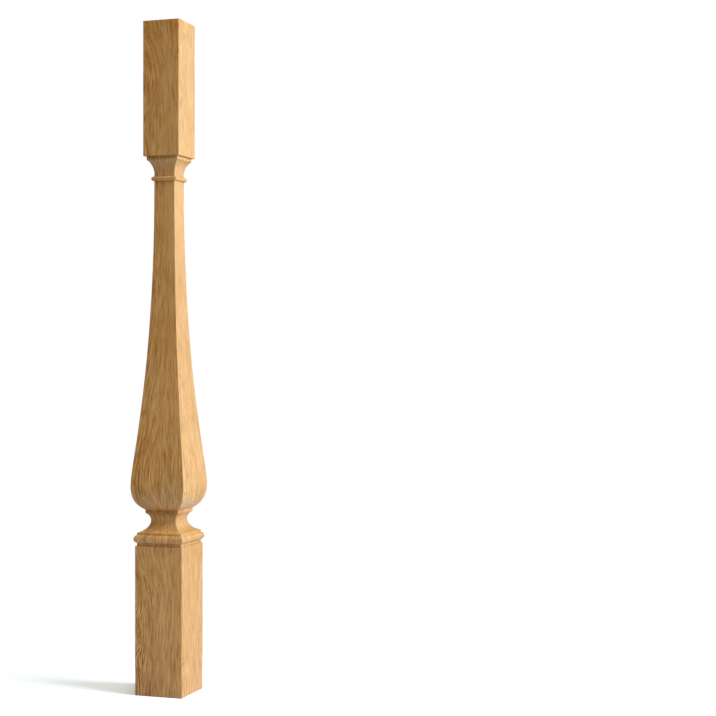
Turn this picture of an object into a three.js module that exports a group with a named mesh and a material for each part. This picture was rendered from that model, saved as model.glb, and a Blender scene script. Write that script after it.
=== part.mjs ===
// A carved oak baluster, worked from one length of solid timber. Every section is square: the same
// moulded outline runs up its four faces, and the faces meet in mitred arrises.
// Millimetres, +Z up, with the origin at the centre of the underside and the faces square to X and Y.

import * as THREE from "three";

// Widths across the faces
const LOWER_BLOCK_SIDE = 68;
const TORUS_FILLET_SIDE = 64.3;
const SCOTIA_WAIST_SIDE = 36.5;
const BULB_FILLET_SIDE = 47.6;
const BULB_SIDE = 77;
const NECK_SIDE = 29.8;
const UPPER_FILLET_SIDE = 45.2;
const UPPER_BLOCK_SIDE = 52;

// Heights of the members, in order from the underside
const LOWER_BLOCK_HEIGHT = 198.8;
const LOWER_FILLET_HEIGHT = 4;
const TORUS_HEIGHT = 10.8;
const MIDDLE_FILLET_HEIGHT = 2.8;
const SCOTIA_FOOT_HEIGHT = 16;
const SCOTIA_HEAD_HEIGHT = 9.9;
const BULB_FILLET_HEIGHT = 4.4;
const BULB_UNDERSIDE_HEIGHT = 32.3;

// Heights of the members, in order from the top. The taper takes up what is left of the whole height.
const HEIGHT = 900;
const UPPER_BLOCK_HEIGHT = 180.6;
const UPPER_FILLET_HEIGHT = 4.9;
const COVE_HEIGHT = 18.6;
const COLLAR_HEIGHT = 3;
const BEAD_HEIGHT = 6.4;

// How far the round mouldings stand out of the face beside them
const TORUS_PROJECTION = 3.6;
const BEAD_PROJECTION = 3.2;

// Angle that each hollow turns through, from its upright waist to the fillet where it ends
const SCOTIA_FOOT_TURN = THREE.MathUtils.degToRad(70);
const SCOTIA_HEAD_TURN = THREE.MathUtils.degToRad(60);
const COVE_TURN = THREE.MathUtils.degToRad(62);

// Handles of the bulb's curves: how strongly each one keeps its direction at its two ends
const UNDERSIDE_SLOPE = THREE.MathUtils.degToRad(35);
const UNDERSIDE_FOOT_PULL = 10.6;
const UNDERSIDE_GIRTH_PULL = 18.8;
const TAPER_GIRTH_PULL = 32;
const TAPER_NECK_PULL = 260;

// Chords that stand for each curve
const MOULDING_STEPS = 16;
const BULB_STEPS = 36;

const OAK = { color: 0xd3a468, roughness: 0.55, metalness: 0 };

// A round moulding that swells out of an upright face, as one arc through its foot, crown and head
function bulge(outline, halfWidth, foot, height, projection) {
  const radius = ((height / 2) ** 2 + projection ** 2) / (2 * projection);
  const halfTurn = Math.asin(height / 2 / radius);
  outline.absarc(halfWidth + projection - radius, foot + height / 2, radius, -halfTurn, halfTurn);
}

// A hollow that is upright at its waist and flares to its end, above the waist or below it
function flare(outline, waist, end, turn) {
  const acrossRadius = (end.x - waist.x) / (1 - Math.cos(turn));
  const uprightRadius = Math.abs(end.y - waist.y) / Math.sin(turn);
  const rising = end.y > waist.y;
  outline.absellipse(
    waist.x + acrossRadius,
    waist.y,
    acrossRadius,
    uprightRadius,
    rising ? Math.PI : Math.PI + turn,
    rising ? Math.PI - turn : Math.PI,
    true,
  );
}

// Half the baluster's outline in one face's mid-plane: x is the half-width and y the height
function balusterOutline() {
  const outline = new THREE.Path();
  const filletHalf = TORUS_FILLET_SIDE / 2;
  const girthHalf = BULB_SIDE / 2;
  const neckHalf = NECK_SIDE / 2;

  // Lower block, with a narrow ledge where it steps in to the fillet
  const blockTop = LOWER_BLOCK_HEIGHT;
  outline.moveTo(0, 0);
  outline.lineTo(LOWER_BLOCK_SIDE / 2, 0);
  outline.lineTo(LOWER_BLOCK_SIDE / 2, blockTop);
  outline.lineTo(filletHalf, blockTop);

  // Torus between its two fillets
  const torusFoot = blockTop + LOWER_FILLET_HEIGHT;
  const torusHead = torusFoot + TORUS_HEIGHT;
  const scotiaFoot = torusHead + MIDDLE_FILLET_HEIGHT;
  outline.lineTo(filletHalf, torusFoot);
  bulge(outline, filletHalf, torusFoot, TORUS_HEIGHT, TORUS_PROJECTION);
  outline.lineTo(filletHalf, scotiaFoot);

  // Scotia: a wide flare below its waist and a tighter one above
  const waist = new THREE.Vector2(SCOTIA_WAIST_SIDE / 2, scotiaFoot + SCOTIA_FOOT_HEIGHT);
  const scotiaHead = new THREE.Vector2(BULB_FILLET_SIDE / 2, waist.y + SCOTIA_HEAD_HEIGHT);
  flare(outline, waist, new THREE.Vector2(filletHalf, scotiaFoot), SCOTIA_FOOT_TURN);
  flare(outline, waist, scotiaHead, SCOTIA_HEAD_TURN);

  // Bulb: round underneath, upright at its girth
  const bulbFoot = scotiaHead.y + BULB_FILLET_HEIGHT;
  const girth = bulbFoot + BULB_UNDERSIDE_HEIGHT;
  outline.lineTo(scotiaHead.x, bulbFoot);
  outline.bezierCurveTo(
    scotiaHead.x + UNDERSIDE_FOOT_PULL * Math.cos(UNDERSIDE_SLOPE),
    bulbFoot + UNDERSIDE_FOOT_PULL * Math.sin(UNDERSIDE_SLOPE),
    girthHalf,
    girth - UNDERSIDE_GIRTH_PULL,
    girthHalf,
    girth,
  );

  // Long ogee taper to the slender neck, which ends at the bead
  const upperBlockFoot = HEIGHT - UPPER_BLOCK_HEIGHT;
  const coveHead = upperBlockFoot - UPPER_FILLET_HEIGHT;
  const coveFoot = coveHead - COVE_HEIGHT;
  const beadFoot = coveFoot - COLLAR_HEIGHT - BEAD_HEIGHT;
  outline.bezierCurveTo(
    girthHalf,
    girth + TAPER_GIRTH_PULL,
    neckHalf,
    beadFoot - TAPER_NECK_PULL,
    neckHalf,
    beadFoot,
  );

  // Bead, short collar, cove and fillet
  bulge(outline, neckHalf, beadFoot, BEAD_HEIGHT, BEAD_PROJECTION);
  outline.lineTo(neckHalf, coveFoot);
  flare(
    outline,
    new THREE.Vector2(neckHalf, coveFoot),
    new THREE.Vector2(UPPER_FILLET_SIDE / 2, coveHead),
    COVE_TURN,
  );
  outline.lineTo(UPPER_FILLET_SIDE / 2, upperBlockFoot);

  // Upper block
  outline.lineTo(UPPER_BLOCK_SIDE / 2, upperBlockFoot);
  outline.lineTo(UPPER_BLOCK_SIDE / 2, HEIGHT);
  outline.lineTo(0, HEIGHT);
  return outline;
}

// Points along an outline: a straight run keeps its ends, and a curve becomes short chords
function pointsAlong(outline) {
  const sameSpot = 1e-6;
  const points = [];
  for (const curve of outline.curves) {
    const curveSteps = curve.isCubicBezierCurve ? BULB_STEPS : MOULDING_STEPS;
    for (const point of curve.getPoints(curve.isLineCurve ? 1 : curveSteps)) {
      if (points.length === 0 || point.distanceTo(points.at(-1)) > sameSpot) points.push(point);
    }
  }
  return points;
}

// A closed solid of square section. A lathe with four sides has its radius at the corners, so the
// half-widths grow by the square root of two, and an eighth of a turn sets its faces square to the axes.
function squareSolid(outline) {
  const sides = 4;
  const corners = pointsAlong(outline).map((p) => new THREE.Vector2(p.x * Math.SQRT2, p.y));
  return new THREE.LatheGeometry(corners, sides, Math.PI / sides);
}

const baluster = new THREE.Mesh(
  squareSolid(balusterOutline()),
  new THREE.MeshStandardMaterial(OAK),
);
baluster.name = "baluster";
baluster.rotation.x = Math.PI / 2;

const part = new THREE.Group();
part.add(baluster);

export default part;
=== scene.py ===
# A carved oak baluster of square section: one finely stepped mesh with eased arrises, oak whose
# grain follows the outline, and a pale floor in soft studio light.
# Metres, +Z up. The -Y face is the wide one in the photograph, and the +X face is the narrow one.

import math

import bpy
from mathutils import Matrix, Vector


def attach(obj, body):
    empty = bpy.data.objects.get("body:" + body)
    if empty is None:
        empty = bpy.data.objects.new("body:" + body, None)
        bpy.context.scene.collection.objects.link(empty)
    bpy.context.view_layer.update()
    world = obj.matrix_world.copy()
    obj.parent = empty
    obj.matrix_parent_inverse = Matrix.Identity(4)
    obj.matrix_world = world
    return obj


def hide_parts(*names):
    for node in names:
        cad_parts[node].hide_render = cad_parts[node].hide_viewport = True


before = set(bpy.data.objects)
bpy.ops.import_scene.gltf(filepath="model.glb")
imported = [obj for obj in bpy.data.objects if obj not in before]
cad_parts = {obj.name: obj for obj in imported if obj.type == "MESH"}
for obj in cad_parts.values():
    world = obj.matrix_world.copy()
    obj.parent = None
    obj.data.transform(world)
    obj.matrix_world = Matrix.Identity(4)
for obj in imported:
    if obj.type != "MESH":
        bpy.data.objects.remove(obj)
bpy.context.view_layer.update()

NODE = "baluster"
BODY = "root"

# Widths across the faces
LOWER_BLOCK_SIDE = 0.068
TORUS_FILLET_SIDE = 0.0643
SCOTIA_WAIST_SIDE = 0.0365
BULB_FILLET_SIDE = 0.0476
BULB_SIDE = 0.077
NECK_SIDE = 0.0298
UPPER_FILLET_SIDE = 0.0452
UPPER_BLOCK_SIDE = 0.052

# Heights of the members, in order from the underside
LOWER_BLOCK_HEIGHT = 0.1988
LOWER_FILLET_HEIGHT = 0.004
TORUS_HEIGHT = 0.0108
MIDDLE_FILLET_HEIGHT = 0.0028
SCOTIA_FOOT_HEIGHT = 0.016
SCOTIA_HEAD_HEIGHT = 0.0099
BULB_FILLET_HEIGHT = 0.0044
BULB_UNDERSIDE_HEIGHT = 0.0323

# Heights of the members, in order from the top
HEIGHT = 0.9
UPPER_BLOCK_HEIGHT = 0.1806
UPPER_FILLET_HEIGHT = 0.0049
COVE_HEIGHT = 0.0186
COLLAR_HEIGHT = 0.003
BEAD_HEIGHT = 0.0064

# How far the round mouldings stand out, and how far the hollows turn
TORUS_PROJECTION = 0.0036
BEAD_PROJECTION = 0.0032
SCOTIA_FOOT_TURN = math.radians(70)
SCOTIA_HEAD_TURN = math.radians(60)
COVE_TURN = math.radians(62)

# Handles of the bulb's curves
UNDERSIDE_SLOPE = math.radians(35)
UNDERSIDE_FOOT_PULL = 0.0106
UNDERSIDE_GIRTH_PULL = 0.0188
TAPER_GIRTH_PULL = 0.032
TAPER_NECK_PULL = 0.26

# How finely the surface is stepped
MOULDING_STEPS = 28
UNDERSIDE_STEPS = 44
TAPER_STEPS = 150
ROW_SPACING = 0.006
FACE_COLUMNS = 16
ARRIS_STEPS = 4
CAP_RINGS = 6
SUPPORT = 0.0005
SMOOTH_BELOW = math.radians(40)

# Edges eased by sanding: along the arrises, and along the level edges that turn sharply outwards
ARRIS_EASE = 0.00045
EDGE_EASE = 0.0003
EDGE_EASE_STEPS = 3
SHARP_TURN = math.radians(20)

# The flat sheet that the surface is laid out on, for baking: its gaps, and the height at which
# each face is cut in two
SHEET_GAP = 0.002
SHEET_CUT_HEIGHT = 0.45

# The camera: level, at half the baluster's height, turned past it so that it stands at the left
CAMERA_AZIMUTH = math.radians(25.171)
CAMERA_DISTANCE = 2.0789
CAMERA_HEIGHT = 0.4495
CAMERA_TURN = math.radians(7.028)
CAMERA_FOCAL_MM = 77.01
CAMERA_SENSOR_MM = 36

# Light: a white backdrop, weak light from all round, and four softboxes, each as azimuth,
# elevation, distance from the baluster's middle, width, height, power and colour
BACKDROP_STRENGTH = 1.0
BACKDROP_COLOUR = (1, 1, 1, 1)
ROOM_STRENGTH = 0.075
ROOM_COLOUR = (1.0, 0.94, 0.84, 1)
KEY_LIGHT = (85.5, 25, 3.0, 1.4, 2.2, 116, (0.88, 1.05, 1.38))
FILL_LIGHT = (20, 50, 3.2, 1.8, 1.2, 20, (1.1, 0.98, 0.8))
RIM_LIGHT = (155, 10, 2.5, 1.2, 1.6, 9, (0.96, 1.0, 1.08))
TOP_LIGHT = (0, 90, 2.2, 1.8, 1.8, 26, (1.0, 1.0, 0.97))

# Floor: how bright it looks, how much light it throws back, where it fades into the backdrop, and
# how far it lies below the baluster
FLOOR_SEEN = (1.33, 1.40, 1.42, 1)
FLOOR_BOUNCE = (0.70, 0.75, 0.83, 1)
FLOOR_RADIUS = 1.2
FLOOR_FADE_START = 0.11
FLOOR_FADE_END = 0.32
FLOOR_DROP = 0.0002

# Oak: how closely the fibres follow the outline (0 not at all, 1 fully), the pith that the year
# rings turn about, and how far the fibres and the rings wander on their way up
OUTLINE_FOLLOWED = 0.9
STRAIGHT_HALF_WIDTH = LOWER_BLOCK_SIDE / 2
PITH = (-0.044, -0.048, 0)
WANDER = 0.014
RING_DRIFT = 0.0034

# How often each pattern of the wood repeats in a metre: across the fibre both ways, and along it
WANDER_REPEATS = (9, 9, 6)
DRIFT_REPEATS = (70, 70, 16)
RING_STRENGTH_REPEATS = (450, 450, 32)
PORE_REPEATS = (2500, 2500, 150)
FIBRE_REPEATS = (2100, 2100, 95)
THREAD_REPEATS = (960, 960, 40)
STREAK_REPEATS = (480, 480, 22)
PATCH_REPEATS = (330, 330, 40)
CLOUD_REPEATS = (80, 80, 10)
WARMTH_REPEATS = (90, 90, 5)
COARSE = {"detail": 3.0, "roughness": 0.6}

# Year rings: how many there are, how they crowd together away from the pith, and how uneven they
# are. Then the shares of a year in which the spring wood's line fades out and comes in, and how
# strongly the line shows.
RING_RATE = 2800
RING_CROWDING = 1.5
RING_UNEVENNESS = 1.6
UNEVENNESS_REPEATS = 400
SPRING_FADES = (0.34, 0.02)
SPRING_RISES = (0.91, 1.0)
RING_STRENGTH = (0.3, 0.6, 0.35, 1.0)

# Pores: how far from its middle each one ends and is deepest, and how many show in summer wood and
# are added in spring wood
PORE_EDGE = (0.42, 0.12)
SUMMER_PORES = 0.35
SPRING_PORES = 0.65

# Tone of the oak, from 0 dark to 1 pale: its middle, and how much each pattern lightens it
MIDDLE_TONE = 0.755
SPRING_TONE = -0.7
FIBRE_TONE = 1.0
THREAD_TONE = 1.3
STREAK_TONE = 0.18
CLOUD_TONE = 0.25
PORE_TONE = -0.3
PATCH_TONE = -0.26
STREAK_EDGE = (0.36, 0.62)
PATCH_EDGE = (0.52, 0.41)
HEARTWOOD_RADII = (0.062, 0.024)

# Slow leans of the fibre: from one height to another, how far it moves at the left and at the right.
# They die out towards the back face.
LEAN_EDGES = (-0.035, 0.03)
LEAN_DEPTH = (0.03, -0.012)
LEANS = (
    (0.130, 0.205, 0.016, 0.002),
    (0.280, 0.580, -0.022, -0.006),
    (0.810, 0.920, 0.030, 0.006),
)

OAK_TONES = (
    (0.0, (0.26, 0.080, 0.009)),
    (0.3, (0.46, 0.192, 0.034)),
    (0.6, (0.66, 0.332, 0.093)),
    (1.0, (0.81, 0.468, 0.168)),
)

# Burrs that push the grain aside: centre, size each way, and push
BURRS = (
    ((-0.036, -0.036, 0.048), (0.018, 0.018, 0.034), (0.0055, 0.004, 0)),
    ((-0.032, -0.034, 0.100), (0.015, 0.018, 0.024), (0.003, 0.002, 0)),
)

# Places where the wood is paler or darker: centre, size each way, and how much. The first two are
# dark flecks in the wood. The others are painted light and shade: darker at the top, paler on the
# upper shaft, darker on the lower taper and at the foot, a painted highlight on the torus front, and
# painted shade under the bulb.
FLECKS_AND_PAINTED_LIGHT = (
    ((-0.020, -0.034, 0.123), (0.0022, 0.006, 0.008), -0.35),
    ((-0.024, -0.026, 0.812), (0.0022, 0.006, 0.022), -0.35),
    ((-0.006, -0.036, 0.900), (0.060, 0.036, 0.080), -0.24),
    ((0, 0, 0.680), (0.080, 0.080, 0.160), 0.13),
    ((-0.010, -0.050, 0.330), (0.070, 0.050, 0.110), -0.13),
    ((0, -0.050, 0), (0.080, 0.060, 0.140), -0.17),
    ((-0.010, -0.040, 0.2072), (0.060, 0.012, 0.009), 0.2),
    ((0, -0.030, 0.2425), (0.100, 0.030, 0.009), -0.36),
)

# Redder and plainer wood in turn, and painted shade that darkens the inner corners
WARMTH_EDGE = (0.4, 0.62)
PLAIN_TINT = (1.0, 1.0, 1.0, 1)
WARM_TINT = (1.0, 0.94, 0.84, 1)
CREVICE_SHADE_REACH = 0.004
CREVICE_SHADE_SAMPLES = 8
CREVICE_SHADE_SPAN = (0.75, 0.35, 0.0, 0.65)
CREVICE_SHADE_COLOUR = (0.3, 0.12, 0.03, 1)

# The clear satin finish: its roughness and shine, and how pores and spring wood sink into it
ROUGHNESS = 0.4
SPRING_ROUGHNESS = 0.08
PORE_ROUGHNESS = 0.2
SHINE = 0.4
SPRING_RELIEF = -0.3
PORE_RELIEF = -0.7
BUMP_STRENGTH = 0.3
BUMP_DEPTH = 0.0003


# Outline of one face, as points of half-width and height

def arc(centre, across, upright, start, stop):
    """Points along part of an ellipse, between two angles."""
    points = []
    for step in range(MOULDING_STEPS + 1):
        angle = start + (stop - start) * step / MOULDING_STEPS
        points.append((centre[0] + across * math.cos(angle), centre[1] + upright * math.sin(angle)))
    return points


def bulge(half_width, foot, height, projection):
    """A round moulding that swells out of an upright face, as one arc."""
    radius = ((height / 2) ** 2 + projection ** 2) / (2 * projection)
    # The bead is a full half circle, which rounding can take just past one
    half_turn = math.asin(min(1.0, height / 2 / radius))
    centre = (half_width + projection - radius, foot + height / 2)
    return arc(centre, radius, radius, -half_turn, half_turn)


def flare(waist, end, turn):
    """A hollow that is upright at its waist and flares to its end, given from the bottom up."""
    across = (end[0] - waist[0]) / (1 - math.cos(turn))
    upright = abs(end[1] - waist[1]) / math.sin(turn)
    centre = (waist[0] + across, waist[1])
    if end[1] > waist[1]:
        return arc(centre, across, upright, math.pi, math.pi - turn)
    return arc(centre, across, upright, math.pi + turn, math.pi)


def bezier(handles, steps):
    """Points along a cubic curve with these four handles."""
    points = []
    for step in range(steps + 1):
        t = step / steps
        weights = ((1 - t) ** 3, 3 * t * (1 - t) ** 2, 3 * t ** 2 * (1 - t), t ** 3)
        points.append(tuple(sum(w * h[axis] for w, h in zip(weights, handles)) for axis in (0, 1)))
    return points


def baluster_outline():
    """The outline in a face's mid-plane, from the underside's middle to the top's."""
    fillet = TORUS_FILLET_SIDE / 2
    block_top = LOWER_BLOCK_HEIGHT
    torus_foot = block_top + LOWER_FILLET_HEIGHT
    scotia_foot = (fillet, torus_foot + TORUS_HEIGHT + MIDDLE_FILLET_HEIGHT)
    waist = (SCOTIA_WAIST_SIDE / 2, scotia_foot[1] + SCOTIA_FOOT_HEIGHT)
    scotia_head = (BULB_FILLET_SIDE / 2, waist[1] + SCOTIA_HEAD_HEIGHT)
    points = [(0, 0), (LOWER_BLOCK_SIDE / 2, 0)]
    points += [(LOWER_BLOCK_SIDE / 2, block_top), (fillet, block_top)]
    points += bulge(fillet, torus_foot, TORUS_HEIGHT, TORUS_PROJECTION)
    points += flare(waist, scotia_foot, SCOTIA_FOOT_TURN)
    points += flare(waist, scotia_head, SCOTIA_HEAD_TURN)

    bulb_foot = (scotia_head[0], scotia_head[1] + BULB_FILLET_HEIGHT)
    underside_pull = (
        bulb_foot[0] + UNDERSIDE_FOOT_PULL * math.cos(UNDERSIDE_SLOPE),
        bulb_foot[1] + UNDERSIDE_FOOT_PULL * math.sin(UNDERSIDE_SLOPE),
    )
    girth = (BULB_SIDE / 2, bulb_foot[1] + BULB_UNDERSIDE_HEIGHT)
    girth_pull = (girth[0], girth[1] - UNDERSIDE_GIRTH_PULL)
    points += bezier((bulb_foot, underside_pull, girth_pull, girth), UNDERSIDE_STEPS)

    upper_block_foot = HEIGHT - UPPER_BLOCK_HEIGHT
    cove_head = (UPPER_FILLET_SIDE / 2, upper_block_foot - UPPER_FILLET_HEIGHT)
    cove_foot = (NECK_SIDE / 2, cove_head[1] - COVE_HEIGHT)
    bead_foot = (NECK_SIDE / 2, cove_foot[1] - COLLAR_HEIGHT - BEAD_HEIGHT)
    taper_pull = (girth[0], girth[1] + TAPER_GIRTH_PULL)
    neck_pull = (bead_foot[0], bead_foot[1] - TAPER_NECK_PULL)
    points += bezier((girth, taper_pull, neck_pull, bead_foot), TAPER_STEPS)
    points += bulge(bead_foot[0], bead_foot[1], BEAD_HEIGHT, BEAD_PROJECTION)
    points += flare(cove_foot, cove_head, COVE_TURN)
    points += [(cove_head[0], upper_block_foot), (UPPER_BLOCK_SIDE / 2, upper_block_foot)]
    points += [(UPPER_BLOCK_SIDE / 2, HEIGHT), (0, HEIGHT)]
    return without_repeats(points)


def without_repeats(points):
    """Leaves out each point that lies on the one before it."""
    same_spot = 1e-7
    kept = points[:1]
    for point in points[1:]:
        if math.dist(point, kept[-1]) > same_spot:
            kept.append(point)
    return kept


def eased(points):
    """Rounds each sharp outward corner, as sandpaper does. Inward corners stay as they were cut."""
    result = [points[0]]
    for before, corner, after in zip(points, points[1:], points[2:]):
        way_in = (Vector(corner) - Vector(before)).normalized()
        way_out = (Vector(after) - Vector(corner)).normalized()
        turn = math.atan2(way_in.x * way_out.y - way_in.y * way_out.x, way_in.dot(way_out))
        if turn < SHARP_TURN:
            result.append(corner)
            continue
        start = Vector(corner) - way_in * EDGE_EASE * math.tan(turn / 2)
        to_centre = Vector((-way_in.y, way_in.x)) * EDGE_EASE
        for step in range(EDGE_EASE_STEPS + 1):
            angle = turn * step / EDGE_EASE_STEPS
            along = way_in * EDGE_EASE * math.sin(angle)
            result.append(tuple(start + along + to_centre * (1 - math.cos(angle))))
    result.append(points[-1])
    return result


def stepped(points):
    """Breaks long straight runs into rows, with a close row at each end that keeps the shading flat."""
    result = [points[0]]
    for start, stop in zip(points, points[1:]):
        length = math.dist(start, stop)
        inner = length - 2 * SUPPORT
        if inner > SUPPORT:
            spaces = max(1, round(inner / ROW_SPACING))
            for step in range(spaces + 1):
                share = (SUPPORT + inner * step / spaces) / length
                result.append(tuple(a + (b - a) * share for a, b in zip(start, stop)))
        result.append(stop)
    return result


# The mesh: rings round the square section, one above the other

def side_points(half_width, ease):
    """One side of a ring, from mid-arris to mid-arris: (across, outward, distance along the surface)."""
    flat = half_width - ease
    support = SUPPORT * ease / ARRIS_EASE
    inner = flat - support
    columns = [inner * (2 * c / FACE_COLUMNS - 1) for c in range(FACE_COLUMNS + 1)]
    columns = [-flat] + columns + [flat]
    face = [(across, half_width, across) for across in columns]
    right = []
    for step in range(1, ARRIS_STEPS // 2 + 1):
        angle = math.pi / 2 * step / ARRIS_STEPS
        right.append((flat + ease * math.sin(angle), flat + ease * math.cos(angle), flat + ease * angle))
    left = [(-across, outward, -along) for across, outward, along in reversed(right)]
    return left + face + right


def ring_points(half_width, height, ease):
    """A whole ring: four sides, each of which ends where the next one starts."""
    ring = []
    for side in range(4):
        angle = math.pi / 2 * (side - 1)
        outward = Vector((math.cos(angle), math.sin(angle), 0))
        sideways = Vector((-math.sin(angle), math.cos(angle), 0))
        for across, out, _ in side_points(half_width, ease)[:-1]:
            ring.append(outward * out + sideways * across + Vector((0, 0, height)))
    return ring


def surface_rows():
    """The rings from the underside's middle to the top's, as (half-width, height, ease, length so far).
    The length is counted along the sides alone, and is None on the flat ends."""
    sides = stepped(eased(baluster_outline())[1:-1])
    shares = [ring / CAP_RINGS for ring in range(1, CAP_RINGS)]
    rows = [(sides[0][0] * share, sides[0][1], ARRIS_EASE * share, None) for share in shares]
    length = 0
    for before, point in zip(sides[:1] + sides, sides):
        length += math.dist(before, point)
        rows.append((point[0], point[1], ARRIS_EASE, length))
    half_width, height = sides[-1]
    rows += [(half_width * share, height, ARRIS_EASE * share, None) for share in reversed(shares)]
    return rows


class Sheet:
    """The surface laid flat on a square: each face in two strips side by side, and the ends above."""

    def __init__(self, rows):
        self.rows = rows
        self.sides = [side_points(half_width, ease) for half_width, _, ease, _ in rows]
        self.columns = len(self.sides[0]) - 1
        on_sides = [i for i, row in enumerate(rows) if row[3] is not None]
        self.cut = next(i for i in on_sides if rows[i][1] > SHEET_CUT_HEIGHT)
        self.cut_length = rows[self.cut][3]
        self.lower_width = 2 * max(row[0] for row in rows[:self.cut + 1]) + SHEET_GAP
        self.upper_width = 2 * max(row[0] for row in rows[self.cut:]) + SHEET_GAP
        top_length = max(rows[i][3] for i in on_sides) - self.cut_length
        foot, head = LOWER_BLOCK_SIDE / 2 + SHEET_GAP, UPPER_BLOCK_SIDE / 2 + SHEET_GAP
        self.foot_centre = Vector((foot, self.cut_length + foot))
        self.head_centre = Vector((4 * self.lower_width + head, top_length + head))
        width = 4 * (self.lower_width + self.upper_width)
        self.side_length = max(width, self.foot_centre.y + foot, self.head_centre.y + head)

    def on_end(self, point):
        """A point of the underside or the top."""
        if point.z < HEIGHT / 2:
            return (self.foot_centre + Vector((-point.x, point.y))) / self.side_length
        return (self.head_centre + point.to_2d()) / self.side_length

    def on_strip(self, row, column, corner_row, corner_column):
        """A corner of the face at this row and column."""
        side, first = divmod(column, self.columns)
        along = self.sides[corner_row][first + corner_column - column][2]
        length = self.rows[corner_row][3]
        if row < self.cut:
            spot = Vector(((side + 0.5) * self.lower_width + along, length))
        else:
            across = 4 * self.lower_width + (side + 0.5) * self.upper_width + along
            spot = Vector((across, length - self.cut_length))
        return spot / self.side_length


def straightened(points, half_width, length):
    """Where points of the surface lie in a straight block, whose fibres run along the outline."""
    spread = (STRAIGHT_HALF_WIDTH / half_width) ** OUTLINE_FOLLOWED
    return [(point.x * spread, point.y * spread, length) for point in points]


def closed_surface(rows, sheet):
    """Points, where each lies in a straight block, faces, and the faces' corners on the sheet."""
    foot, *_, head = (row for row in rows if row[3] is not None)
    points = [Vector((0, 0, 0))]
    straight = [(0, 0, foot[3])]
    for row in rows:
        ring = ring_points(*row[:3])
        edge = row if row[3] is not None else foot if row[1] < HEIGHT / 2 else head
        points += ring
        straight += straightened(ring, edge[0], edge[3])
    points.append(Vector((0, 0, HEIGHT)))
    straight.append((0, 0, head[3]))

    around = 4 * sheet.columns
    faces = []
    laid_flat = []
    for row in range(len(rows) - 1):
        on_end = rows[row][3] is None or rows[row + 1][3] is None
        for column in range(around):
            corners = ((row, column), (row, column + 1), (row + 1, column + 1), (row + 1, column))
            face = tuple(1 + r * around + c % around for r, c in corners)
            faces.append(face)
            if on_end:
                laid_flat += [sheet.on_end(points[corner]) for corner in face]
            else:
                laid_flat += [sheet.on_strip(row, column, r, c) for r, c in corners]
    top_ring = 1 + (len(rows) - 1) * around
    for column in range(around):
        after = (column + 1) % around
        underside = (0, 1 + after, 1 + column)
        top = (len(points) - 1, top_ring + column, top_ring + after)
        for face in (underside, top):
            faces.append(face)
            laid_flat += [sheet.on_end(points[corner]) for corner in face]
    return points, straight, faces, laid_flat


def flattened(rows):
    return [value for row in rows for value in row]


def build_baluster(material):
    rows = surface_rows()
    points, straight, faces, laid_flat = closed_surface(rows, Sheet(rows))
    mesh = bpy.data.meshes.new("carved_baluster")
    mesh.from_pydata([tuple(p) for p in points], [], faces)
    mesh.uv_layers.new(name="OFBake").data.foreach_set("uv", flattened(laid_flat))
    fibres = mesh.attributes.new(name="straight", type="FLOAT_VECTOR", domain="POINT")
    fibres.data.foreach_set("vector", flattened(straight))
    mesh.polygons.foreach_set("use_smooth", [True] * len(mesh.polygons))
    mesh.set_sharp_from_angle(angle=SMOOTH_BELOW)
    mesh.materials.append(material)
    piece = bpy.data.objects.new("carved_baluster", mesh)
    bpy.context.scene.collection.objects.link(piece)
    return piece


# Materials

class Graph:
    """Adds shader nodes to a material and wires them up. Inputs are values or other nodes' outputs."""

    def __init__(self, tree):
        self.tree = tree
        tree.nodes.clear()

    def node(self, kind, inputs=(), **settings):
        node = self.tree.nodes.new(kind)
        for name, value in settings.items():
            setattr(node, name, value)
        for name, value in dict(inputs).items():
            if isinstance(value, bpy.types.NodeSocket):
                self.tree.links.new(value, node.inputs[name])
            else:
                node.inputs[name].default_value = value
        return node

    def math(self, operation, *values):
        return self.node("ShaderNodeMath", enumerate(values), operation=operation).outputs[0]

    def vector(self, operation, *values):
        node = self.node("ShaderNodeVectorMath", enumerate(values), operation=operation)
        return node.outputs["Value" if operation == "LENGTH" else "Vector"]

    def noise(self, vector, detail=2.0, roughness=0.5, output="Fac"):
        """Noise whose lumps are about one unit in size, from 0 to 1."""
        inputs = {"Vector": vector, "Scale": 1.0, "Detail": detail, "Roughness": roughness}
        return self.node("ShaderNodeTexNoise", inputs).outputs[output]

    def pattern(self, grain, repeats, **settings):
        """Noise drawn out along the fibre."""
        return self.noise(self.vector("MULTIPLY", grain, repeats), **settings)

    def span(self, value, low, high, to_low=0.0, to_high=1.0):
        """Eases from to_low to to_high as the value goes from low to high."""
        inputs = {"Value": value, "From Min": low, "From Max": high, "To Min": to_low, "To Max": to_high}
        return self.node("ShaderNodeMapRange", inputs, interpolation_type="SMOOTHSTEP").outputs["Result"]

    def tinted(self, factor, colour, tint, blend="MIX"):
        inputs = {0: factor, 6: colour, 7: tint}
        return self.node("ShaderNodeMix", inputs, data_type="RGBA", blend_type=blend).outputs[2]


def nearness(g, place, centre, size):
    """One at the centre of an egg-shaped region, easing to nothing at its edge."""
    offset = g.vector("DIVIDE", g.vector("SUBTRACT", place, centre), size)
    return g.span(g.vector("LENGTH", offset), 1.0, 0.0)


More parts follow.
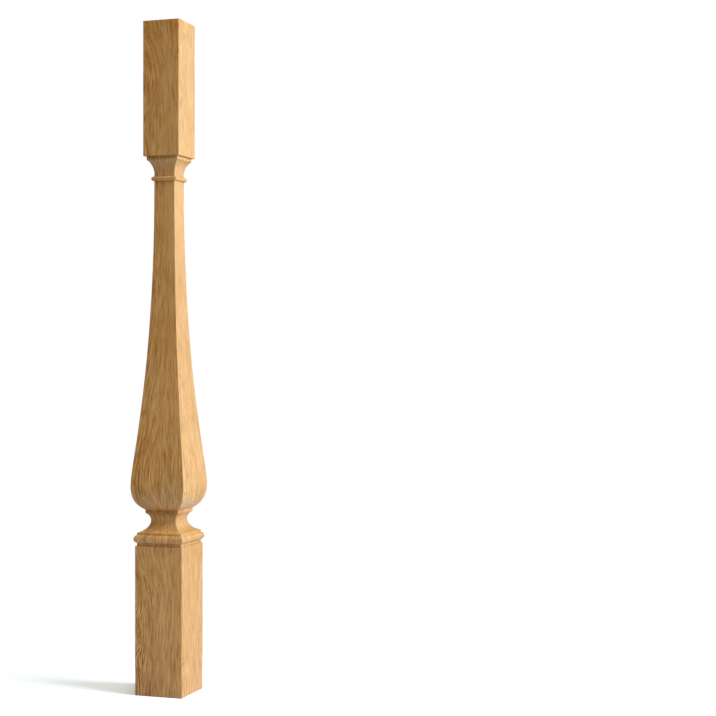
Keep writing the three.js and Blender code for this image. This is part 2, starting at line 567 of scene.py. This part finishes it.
def wandering(g, place):
    """Positions in the tree: the fibres follow the outline, lean and wander on their way up, and bend
    round the burrs."""
    straight = g.node("ShaderNodeAttribute", attribute_name="straight").outputs["Vector"]
    wander = g.pattern(place, WANDER_REPEATS, output="Color")
    wander = g.vector("SUBTRACT", wander, (0.5, 0.5, 0.5))
    grain = g.vector("MULTIPLY_ADD", wander, (WANDER, WANDER, 0), straight)
    across, depth, height = g.node("ShaderNodeSeparateXYZ", {0: place}).outputs
    front = g.span(depth, *LEAN_DEPTH)
    for low, high, left, right in LEANS:
        sideways = g.span(across, *LEAN_EDGES, left, right)
        shift = g.math("MULTIPLY", g.span(height, low, high), sideways)
        shift = g.node("ShaderNodeCombineXYZ", {0: g.math("MULTIPLY", shift, front)}).outputs[0]
        grain = g.vector("ADD", grain, shift)
    for centre, size, push in BURRS:
        grain = g.vector("MULTIPLY_ADD", nearness(g, place, centre, size), push, grain)
    return grain


def ring_radius(g, grain):
    """Distance from the pith, with a slow waver."""
    from_pith = g.vector("MULTIPLY", g.vector("SUBTRACT", grain, PITH), (1, 1, 0))
    waver = g.math("SUBTRACT", g.pattern(grain, DRIFT_REPEATS), 0.5)
    return g.math("MULTIPLY_ADD", waver, RING_DRIFT, g.vector("LENGTH", from_pith))


def spring_wood(g, grain, radius):
    """One in each ring's thin line of porous spring wood, nothing in the dense wood that follows it."""
    outwards = g.math("MULTIPLY", radius, UNEVENNESS_REPEATS)
    uneven = g.noise(g.node("ShaderNodeCombineXYZ", {0: outwards}).outputs[0])
    years = g.math("MULTIPLY", g.math("POWER", radius, RING_CROWDING), RING_RATE)
    season = g.math("FRACT", g.math("MULTIPLY_ADD", uneven, RING_UNEVENNESS, years))
    line = g.math("MAXIMUM", g.span(season, *SPRING_FADES), g.span(season, *SPRING_RISES))
    strength = g.span(g.pattern(grain, RING_STRENGTH_REPEATS), *RING_STRENGTH)
    return g.math("MULTIPLY", line, strength)


def pores(g, grain, early):
    """Short dark dashes along the fibre, thickest in the spring wood."""
    inputs = {"Vector": g.vector("MULTIPLY", grain, PORE_REPEATS), "Scale": 1.0}
    cells = g.node("ShaderNodeTexVoronoi", inputs, feature="F1")
    dashes = g.span(cells.outputs["Distance"], *PORE_EDGE)
    return g.math("MULTIPLY", dashes, g.math("MULTIPLY_ADD", early, SPRING_PORES, SUMMER_PORES))


def oak_tone(g, place, grain, radius, early, dashes, fibre):
    """How pale the wood is: threads from fine to broad, slow clouds, patches near the pith, dark flecks,
    and painted highlight and shade in places.
    """
    thread = g.pattern(grain, THREAD_REPEATS)
    streak = g.span(g.pattern(grain, STREAK_REPEATS, **COARSE), *STREAK_EDGE)
    cloud = g.pattern(grain, CLOUD_REPEATS)
    patches = g.span(g.pattern(grain, PATCH_REPEATS, **COARSE), *PATCH_EDGE)
    heartwood = g.span(radius, *HEARTWOOD_RADII)

    tone = g.math("MULTIPLY_ADD", early, SPRING_TONE, MIDDLE_TONE)
    weights = ((fibre, FIBRE_TONE), (thread, THREAD_TONE), (streak, STREAK_TONE), (cloud, CLOUD_TONE))
    for value, weight in weights:
        tone = g.math("MULTIPLY_ADD", g.math("SUBTRACT", value, 0.5), weight, tone)
    tone = g.math("MULTIPLY_ADD", dashes, PORE_TONE, tone)
    tone = g.math("MULTIPLY_ADD", g.math("MULTIPLY", patches, heartwood), PATCH_TONE, tone)
    # Dark flecks, then painted highlight and shade that stand in for how the light falls
    for centre, size, shade in FLECKS_AND_PAINTED_LIGHT:
        tone = g.math("MULTIPLY_ADD", nearness(g, place, centre, size), shade, tone)
    return tone


def oak_colour(g, grain, tone):
    """The tone's colour, redder and plainer in turn, with painted shade darkening the inner corners."""
    ramp = g.node("ShaderNodeValToRGB", {"Fac": tone})
    elements = ramp.color_ramp.elements
    for index, (position, colour) in enumerate(OAK_TONES):
        element = elements[index] if index < len(elements) else elements.new(position)
        element.position = position
        element.color = (*colour, 1)

    warmth = g.span(g.pattern(grain, WARMTH_REPEATS), *WARMTH_EDGE)
    colour = g.tinted(warmth, PLAIN_TINT, WARM_TINT)
    colour = g.tinted(1.0, ramp.outputs["Color"], colour, "MULTIPLY")
    # Painted shade: ambient occlusion darkens the colour in the inner corners, where shade falls
    inputs = {"Distance": CREVICE_SHADE_REACH}
    openness = g.node("ShaderNodeAmbientOcclusion", inputs, samples=CREVICE_SHADE_SAMPLES).outputs["AO"]
    return g.tinted(g.span(openness, *CREVICE_SHADE_SPAN), colour, CREVICE_SHADE_COLOUR)


def oak():
    """Oak whose grain, rings and pores lie in a straight block that is bent to the outline."""
    material = bpy.data.materials.new("oak")
    material.use_nodes = True
    g = Graph(material.node_tree)
    place = g.node("ShaderNodeTexCoord").outputs["Object"]
    grain = wandering(g, place)
    radius = ring_radius(g, grain)
    early = spring_wood(g, grain, radius)
    dashes = pores(g, grain, early)
    fibre = g.pattern(grain, FIBRE_REPEATS, **COARSE)
    tone = oak_tone(g, place, grain, radius, early, dashes, fibre)

    roughness = g.math("MULTIPLY_ADD", early, SPRING_ROUGHNESS, ROUGHNESS)
    roughness = g.math("MULTIPLY_ADD", dashes, PORE_ROUGHNESS, roughness)
    relief = g.math("MULTIPLY_ADD", early, SPRING_RELIEF, fibre)
    relief = g.math("MULTIPLY_ADD", dashes, PORE_RELIEF, relief)
    inputs = {"Height": relief, "Strength": BUMP_STRENGTH, "Distance": BUMP_DEPTH}
    bump = g.node("ShaderNodeBump", inputs)
    shader = g.node("ShaderNodeBsdfPrincipled", {
        "Base Color": oak_colour(g, grain, tone),
        "Roughness": roughness,
        "Specular IOR Level": SHINE,
        "Normal": bump.outputs["Normal"],
    })
    g.node("ShaderNodeOutputMaterial", {"Surface": shader.outputs["BSDF"]})
    return material


def floor_material():
    """A pale floor that the camera sees fade into the white of the backdrop, a little way off."""
    material = bpy.data.materials.new("pale_floor")
    material.use_nodes = True
    g = Graph(material.node_tree)
    place = g.node("ShaderNodeTexCoord").outputs["Object"]
    seen = g.node("ShaderNodeLightPath").outputs["Is Camera Ray"]
    far = g.span(g.vector("LENGTH", place), FLOOR_FADE_START, FLOOR_FADE_END)
    fade = g.math("MULTIPLY", far, seen)
    colour = g.tinted(seen, FLOOR_BOUNCE, FLOOR_SEEN)
    matt = g.node("ShaderNodeBsdfDiffuse", {"Color": colour}).outputs[0]
    clear = g.node("ShaderNodeBsdfTransparent").outputs[0]
    mixed = g.node("ShaderNodeMixShader", {0: fade, 1: matt, 2: clear}).outputs[0]
    g.node("ShaderNodeOutputMaterial", {"Surface": mixed})
    return material


# Stage

def add_floor():
    signs = ((-1, -1), (1, -1), (1, 1), (-1, 1))
    corners = [(FLOOR_RADIUS * x, FLOOR_RADIUS * y, -FLOOR_DROP) for x, y in signs]
    mesh = bpy.data.meshes.new("floor")
    mesh.from_pydata(corners, [], [(0, 1, 2, 3)])
    mesh.materials.append(floor_material())
    floor = bpy.data.objects.new("floor", mesh)
    bpy.context.scene.collection.objects.link(floor)


def add_backdrop():
    """White wherever the camera looks past the floor, and a weaker, even light from all round."""
    world = bpy.data.worlds.new("backdrop")
    world.use_nodes = True
    bpy.context.scene.world = world
    g = Graph(world.node_tree)
    seen = g.node("ShaderNodeLightPath").outputs["Is Camera Ray"]
    strength = g.span(seen, 0.0, 1.0, ROOM_STRENGTH, BACKDROP_STRENGTH)
    colour = g.tinted(seen, ROOM_COLOUR, BACKDROP_COLOUR)
    light = g.node("ShaderNodeBackground", {"Color": colour, "Strength": strength})
    g.node("ShaderNodeOutputWorld", {"Surface": light.outputs[0]})


def add_softbox(name, azimuth, elevation, distance, width, height, power, colour):
    light = bpy.data.lights.new(name, "AREA")
    light.shape = "RECTANGLE"
    light.size, light.size_y = width, height
    light.energy = power
    light.color = colour
    lamp = bpy.data.objects.new(name, light)
    turn, rise = math.radians(azimuth), math.radians(elevation)
    away = Vector((math.sin(turn) * math.cos(rise), -math.cos(turn) * math.cos(rise), math.sin(rise)))
    lamp.location = Vector((0, 0, HEIGHT / 2)) + away * distance
    lamp.rotation_euler = (-away).to_track_quat("-Z", "Y").to_euler()
    bpy.context.scene.collection.objects.link(lamp)


def add_lights():
    add_softbox("key", *KEY_LIGHT)
    add_softbox("fill", *FILL_LIGHT)
    add_softbox("rim", *RIM_LIGHT)
    add_softbox("top", *TOP_LIGHT)


def add_camera():
    camera = bpy.data.cameras.new("camera")
    camera.lens = CAMERA_FOCAL_MM
    camera.sensor_width = CAMERA_SENSOR_MM
    seat = bpy.data.objects.new("camera", camera)
    seat.location = (
        CAMERA_DISTANCE * math.sin(CAMERA_AZIMUTH),
        -CAMERA_DISTANCE * math.cos(CAMERA_AZIMUTH),
        CAMERA_HEIGHT,
    )
    seat.rotation_euler = (math.pi / 2, 0, CAMERA_AZIMUTH - CAMERA_TURN)
    bpy.context.scene.collection.objects.link(seat)
    bpy.context.scene.camera = seat


bpy.context.scene.view_settings.view_transform = "Standard"
add_camera()
add_backdrop()
add_lights()
add_floor()
baluster = build_baluster(oak())
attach(baluster, BODY)
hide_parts(NODE)
